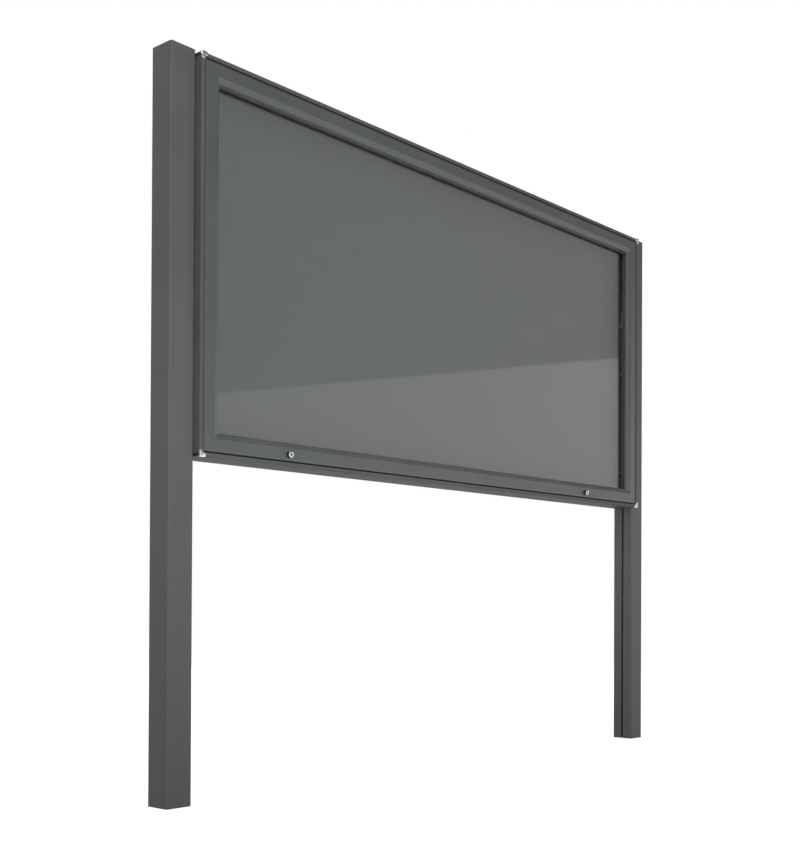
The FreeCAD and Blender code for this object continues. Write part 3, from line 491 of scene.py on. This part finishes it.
def makeDoorSide(node, name, innerX, innerZ):
    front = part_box("door_left_stile")[0].y
    reach = doorNose["reach"] / 1000
    piece = bpy.data.objects.new(name, nodes[node].data.copy())
    bpy.context.collection.objects.link(piece)
    deselect()
    piece.select_set(True)
    bpy.context.view_layer.objects.active = piece
    bpy.ops.object.mode_set(mode="EDIT")
    bpy.ops.mesh.select_all(action="SELECT")
    bpy.ops.mesh.remove_doubles(threshold=doorNose["mergeWithin"] / 1000)
    bpy.ops.mesh.dissolve_limited(angle_limit=math.radians(doorNose["flatWithin"]))
    bpy.ops.object.mode_set(mode="OBJECT")
    # the nose's arc grows about the sharp corner that it rounds, so it stays tangent to bevel and reveal
    for x in innerX:
        for z in innerZ:
            corner = Vector((x, front + doorNose["drop"] / 1000, z))
            selectParts(piece, "VERT",
                        lambda vertex: max(abs(part) for part in vertex.co - corner) < reach)
            bpy.ops.transform.resize(value=(doorNose["fuller"],) * 3, center_override=corner)
            bpy.ops.object.mode_set(mode="OBJECT")
    finishPiece(piece, name, doorMaterial, "door", [node], doorNose["smoothAngle"])
    # large flats keep their own normals, so that only the rounded edges shade softly
    weighted = piece.modifiers.new("flats", "WEIGHTED_NORMAL")
    weighted.keep_sharp = True
    weighted.weight = 100
    bpy.ops.object.modifier_apply(modifier=weighted.name)


def makeDoorFrame():
    x = (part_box("door_left_stile")[1].x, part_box("door_right_stile")[0].x)
    z = (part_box("door_bottom_rail")[1].z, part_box("door_top_rail")[0].z)
    makeDoorSide("door_left_stile", "doorLeftStile", x[:1], z)
    makeDoorSide("door_right_stile", "doorRightStile", x[1:], z)
    makeDoorSide("door_bottom_rail", "doorBottomRail", x, z[:1])
    makeDoorSide("door_top_rail", "doorTopRail", x, z[1:])


makeDoorFrame()
print("door frame made")


# rubber frames: a strip all round, mitred at its corners, with rounded lips

glazingLip = {"lip": 0.55, "segments": 3}
doorBulb = {"lip": 1.25, "segments": 4}

# the outer lip of the glazing rubber, clipped on right behind the bevel's nose, all round the reveal; the
# reveal's faces lie as far inside the gasket's inner edge as the gasket's own lip stands out of them
outerLip = {"behind": 14.6, "depth": 2.6, "proud": 1.5, "gasketLip": 1.2, "lip": 0.5, "segments": 3}


# how wide a node's strips are, read from the upright one at the left
def stripWidth(node):
    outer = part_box(node)[0].x
    beyondOuter = 0.0005
    inner = min(v.co.x for v in nodes[node].data.vertices if v.co.x > outer + beyondOuter)
    return inner - outer


# a strip all round between two corners of its outer edge, with its front at y
def makeRubberStrip(low, high, y, width, depth, look):
    deselect()
    middle = ((low[0] + high[0]) / 2, y, (low[1] + high[1]) / 2)
    bpy.ops.mesh.primitive_plane_add(size=1, location=middle, rotation=(math.radians(90), 0, 0))
    piece = bpy.context.object
    piece.scale = (high[0] - low[0], high[1] - low[1], 1)
    bpy.ops.object.transform_apply(location=True, rotation=True, scale=True)
    bpy.ops.object.mode_set(mode="EDIT")
    bpy.ops.mesh.select_all(action="SELECT")
    bpy.ops.mesh.inset(thickness=width)
    bpy.ops.mesh.delete(type="FACE")
    bpy.ops.mesh.select_all(action="SELECT")
    bpy.ops.mesh.extrude_region_move(TRANSFORM_OT_translate={"value": (0, depth, 0)})
    bpy.ops.object.mode_set(mode="OBJECT")
    applyBevel(piece, look["lip"], look["segments"], angle=60)
    return piece


def makeRubberFrame(node, name, body, look):
    low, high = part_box(node)
    piece = makeRubberStrip((low.x, low.z), (high.x, high.z), low.y, stripWidth(node), high.y - low.y, look)
    finishPiece(piece, name, rubberMaterial, body, [node], smoothAngle=50)


def makeOuterLip(look):
    low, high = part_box("glazing_gasket")
    inset = stripWidth("glazing_gasket") - look["gasketLip"] / 1000
    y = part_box("door_left_stile")[0].y + look["behind"] / 1000
    piece = makeRubberStrip((low.x + inset, low.z + inset), (high.x - inset, high.z - inset), y,
                            look["proud"] / 1000, look["depth"] / 1000, look)
    finishPiece(piece, "outerGlazingLip", rubberMaterial, "door", [], smoothAngle=50)


makeRubberFrame("glazing_gasket", "glazingGasket", "door", glazingLip)
makeRubberFrame("door_seal", "doorSeal", "case", doorBulb)
makeOuterLip(outerLip)
print("seals made")


# surroundings: a pale floor, white surroundings for the eye and for mirrors, and soft lamps

studio = {
    "floorSize": 60, "floorTone": "#a4a4a4", "floorGlow": 0.9,
    "ambient": 0.28,
    # what mirrors see below and above an edge, and the direction square to that edge's plane
    "mirrorLow": 1.0, "mirrorHigh": 0.27, "edgeNormal": (-0.19474, 0.05083, 0.97954),
    "edgeSoftness": 0.0013,
    # the wall at the left comes in between these two slants of a ray towards it
    "wallLevel": 1.1, "wallFrom": 0.15, "wallTo": 0.6,
    "lamps": [
        {"name": "frontLamp", "place": (-1.9, -4.6, 0.6), "aim": (-0.6, 0, 1.2),
         "size": (3.0, 1.0), "power": 150},
        {"name": "floorLamp", "place": (0, -2.2, 0.02), "aim": (0, -2.2, 2.0),
         "size": (6.0, 3.6), "power": 22},
        {"name": "leftLamp", "place": (-24.0, -4.0, 5.0), "aim": (0, 0, 1.2),
         "size": (12.0, 9.0), "power": 1500},
        {"name": "backLamp", "place": (3.6, 5.2, 2.6), "aim": (0, 0, 1.2),
         "size": (4.0, 3.0), "power": 200},
        {"name": "topLamp", "place": (0.3, 0.5, 5.2), "aim": (0.3, 0.5, 0),
         "size": (4.0, 2.4), "power": 45},
    ],
}
white = (1, 1, 1, 1)


def makeFloor(look):
    deselect()
    bpy.ops.mesh.primitive_plane_add(size=look["floorSize"], location=(0, 0, 0))
    floor = bpy.context.object
    floor.name = "floor"
    material, tree, _ = newMaterial("paleFloor")
    matt = addNode(tree, "ShaderNodeBsdfDiffuse", values={"Color": paint(look["floorTone"])})
    glow = addNode(tree, "ShaderNodeEmission", values={"Color": white, "Strength": look["floorGlow"]})
    both = addNode(tree, "ShaderNodeAddShader", links={0: matt.outputs[0], 1: glow.outputs[0]})
    path = addNode(tree, "ShaderNodeLightPath")
    seen = addNode(tree, "ShaderNodeMath", {"operation": "ADD", "use_clamp": True},
                   links={0: path.outputs["Is Camera Ray"], 1: path.outputs["Is Glossy Ray"]})
    seen = addNode(tree, "ShaderNodeMath", {"operation": "ADD", "use_clamp": True},
                   links={0: seen.outputs[0], 1: path.outputs["Is Transmission Ray"]})
    mixed = addNode(tree, "ShaderNodeMixShader",
                    links={0: seen.outputs[0], 1: matt.outputs[0], 2: both.outputs[0]})
    floor.data.materials.append(finishMaterial(material, tree, mixed))


# white to the eye, plain grey light all round, and for mirrors a dark ceiling over a light wall
def makeWorld(look):
    world = bpy.data.worlds.new("studioWorld")
    bpy.context.scene.world = world
    world.use_nodes = True
    tree = world.node_tree
    tree.nodes.clear()
    path = addNode(tree, "ShaderNodeLightPath")
    way = addNode(tree, "ShaderNodeTexCoord")
    height = addNode(tree, "ShaderNodeVectorMath", {"operation": "DOT_PRODUCT"}, {1: look["edgeNormal"]},
                     {0: way.outputs["Generated"]})
    soft = look["edgeSoftness"]
    level = addNode(tree, "ShaderNodeMapRange",
                    values={"From Min": -soft, "From Max": soft, "To Min": look["mirrorLow"],
                            "To Max": look["mirrorHigh"]}, links={"Value": height.outputs["Value"]})
    # a white wall far to the left, which draws the light lines along the rounded edges
    sideways = addNode(tree, "ShaderNodeSeparateXYZ", links={"Vector": way.outputs["Generated"]}).outputs["X"]
    wall = addNode(tree, "ShaderNodeMapRange", {"interpolation_type": "SMOOTHSTEP"},
                   {"From Min": -look["wallFrom"], "From Max": -look["wallTo"], "To Min": 0.0,
                    "To Max": look["wallLevel"]}, {"Value": sideways})
    brighter = addNode(tree, "ShaderNodeMath", {"operation": "MAXIMUM"},
                       links={0: level.outputs["Result"], 1: wall.outputs["Result"]})
    ambient = addNode(tree, "ShaderNodeBackground", values={"Color": white, "Strength": look["ambient"]})
    mirrored = addNode(tree, "ShaderNodeBackground", values={"Color": white},
                       links={"Strength": brighter.outputs[0]})
    plain = addNode(tree, "ShaderNodeBackground", values={"Color": white, "Strength": 1.0})
    first = addNode(tree, "ShaderNodeMixShader",
                    links={0: path.outputs["Is Glossy Ray"], 1: ambient.outputs[0], 2: mirrored.outputs[0]})
    seen = addNode(tree, "ShaderNodeMath", {"operation": "ADD", "use_clamp": True},
                   links={0: path.outputs["Is Camera Ray"], 1: path.outputs["Is Transmission Ray"]})
    last = addNode(tree, "ShaderNodeMixShader",
                   links={0: seen.outputs[0], 1: first.outputs[0], 2: plain.outputs[0]})
    addNode(tree, "ShaderNodeOutputWorld", links={"Surface": last.outputs[0]})


def makeLamp(look):
    deselect()
    place = Vector(look["place"])
    turn = (Vector(look["aim"]) - place).to_track_quat("-Z", "Y").to_euler()
    bpy.ops.object.light_add(type="AREA", location=place, rotation=turn)
    lamp = bpy.context.object
    lamp.name = look["name"]
    lamp.data.shape = "RECTANGLE"
    lamp.data.size, lamp.data.size_y = look["size"]
    lamp.data.energy = look["power"]
    # no lamp shows in a mirror; a pane's back face mirrors too, and what leaves it counts as transmission
    lamp.visible_camera = lamp.visible_glossy = lamp.visible_transmission = False


makeFloor(studio)
makeWorld(studio)
for lampLook in studio["lamps"]:
    makeLamp(lampLook)
print("floor, world and lamps made")


# camera, where the photographer stood

cameraView = {"place": (-3.12243, -2.53323, 0.52936), "yaw": 48.54490, "pitch": 0.45966, "roll": 0.26443,
              "lens": 52.402, "sensor": 36, "shiftY": 0.2013, "farthest": 200}


def makeCamera(look):
    deselect()
    yaw, pitch, roll = (math.radians(look[key]) for key in ("yaw", "pitch", "roll"))
    forward = Vector((math.sin(yaw) * math.cos(pitch), math.cos(yaw) * math.cos(pitch), math.sin(pitch)))
    level = Vector((math.cos(yaw), -math.sin(yaw), 0))
    up = level.cross(forward)
    right = level * math.cos(roll) + up * math.sin(roll)
    upright = up * math.cos(roll) - level * math.sin(roll)
    bpy.ops.object.camera_add()
    camera = bpy.context.object
    turn = Matrix((right, upright, -forward)).transposed().to_4x4()
    camera.matrix_world = Matrix.Translation(Vector(look["place"])) @ turn
    camera.data.lens = look["lens"]
    camera.data.sensor_width = look["sensor"]
    camera.data.shift_y = look["shiftY"]
    camera.data.clip_end = look["farthest"]
    bpy.context.scene.camera = camera


makeCamera(cameraView)
bpy.context.scene.view_settings.view_transform = "Standard"
print("camera set")
